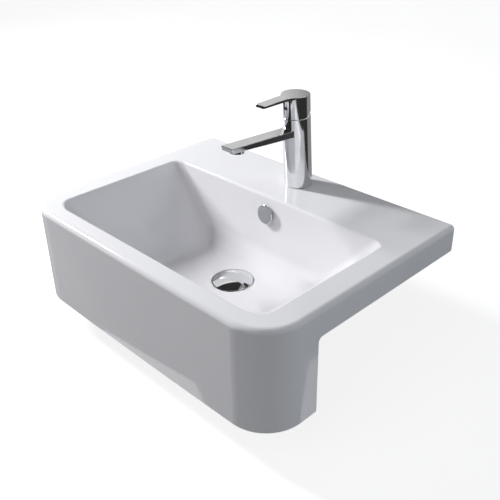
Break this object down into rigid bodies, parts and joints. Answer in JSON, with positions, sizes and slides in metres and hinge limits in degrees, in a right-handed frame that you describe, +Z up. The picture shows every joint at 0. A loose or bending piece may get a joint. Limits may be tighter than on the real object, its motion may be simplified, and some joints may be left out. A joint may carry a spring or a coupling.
{
  "type": "semi recessed basin",
  "caption": "Ceramic basin whose front hangs over a worktop's edge, with a lever mixer tap, a press-to-open waste and an overflow fitting.",
  "frame": {"origin": "middle of the back face, at the height of the worktop that the rear foot stands on", "axes": "+X to the user's right, +Y towards the wall, +Z up"},
  "size_m": [0.56, 0.419, 0.3792],
  "materials": {
    "glazed_ceramic": "white glaze, glossy",
    "chrome": "polished",
    "brass": "turned",
    "steel": "bright",
    "black_rubber": "matt",
    "white_rubber": "matt",
    "ceramic_disc": "lapped",
    "grey_plastic": "moulded",
    "white_plastic": "moulded",
    "dark_plastic": "moulded"
  },
  "bodies": {
    "fixed": {"basin": "glazed_ceramic", "tap_body": "chrome", "spout_arm": "chrome", "cover_dome": "chrome", "aerator_housing": "chrome", "aerator_insert": "grey_plastic", "aerator_seal": "black_rubber", "base_gasket": "black_rubber", "fixing_stud": "brass", "horseshoe_gasket": "black_rubber", "horseshoe_plate": "steel", "fixing_nut": "brass", "cartridge_base": "white_plastic", "cartridge_seals": "black_rubber", "fixed_disc": "ceramic_disc", "cartridge_housing": "grey_plastic", "cartridge_nut": "brass", "overflow_cap": "chrome", "overflow_insert": "grey_plastic", "waste_body": "chrome", "waste_top_seal": "white_rubber", "waste_bottom_seal": "black_rubber", "waste_washer": "white_plastic", "waste_back_nut": "brass", "click_barrel": "white_plastic", "click_spring": "steel"},
    "swivel": {"cartridge_carrier": "white_plastic", "stem_pin": "steel"},
    "lever": {"cartridge_stem": "brass", "lever_handle": "chrome", "grub_screw": "steel", "index_plug": "dark_plastic"},
    "disc": {"moving_disc": "ceramic_disc"},
    "plug": {"plug_cap": "chrome", "plug_seal": "black_rubber", "plunger_rod": "brass"}
  },
  "joints": [
    {"name": "lever_swivel", "type": "hinge", "parent": "fixed", "child": "swivel", "pos_m": [0, -0.05887, 0.15697], "axis": [0, -0.0637, 0.998], "range_deg": [-50, 50]},
    {"name": "lever_lift", "type": "hinge", "parent": "swivel", "child": "lever", "pos_m": [0, -0.05887, 0.15697], "axis": [-1, 0, 0], "range_deg": [0, 25]},
    {"name": "disc_slide", "type": "slide", "parent": "swivel", "child": "disc", "axis": [0, -0.998, -0.0637], "range_m": [0, 0.0045]},
    {"name": "plug_click", "type": "slide", "parent": "fixed", "child": "plug", "axis": [0, 0, 1], "range_m": [0, 0.009], "deforming": ["click_spring"]}
  ],
  "couplings": [
    {"joint": "disc_slide", "follows": "lever_lift", "m_per_rad": 0.01}
  ]
}
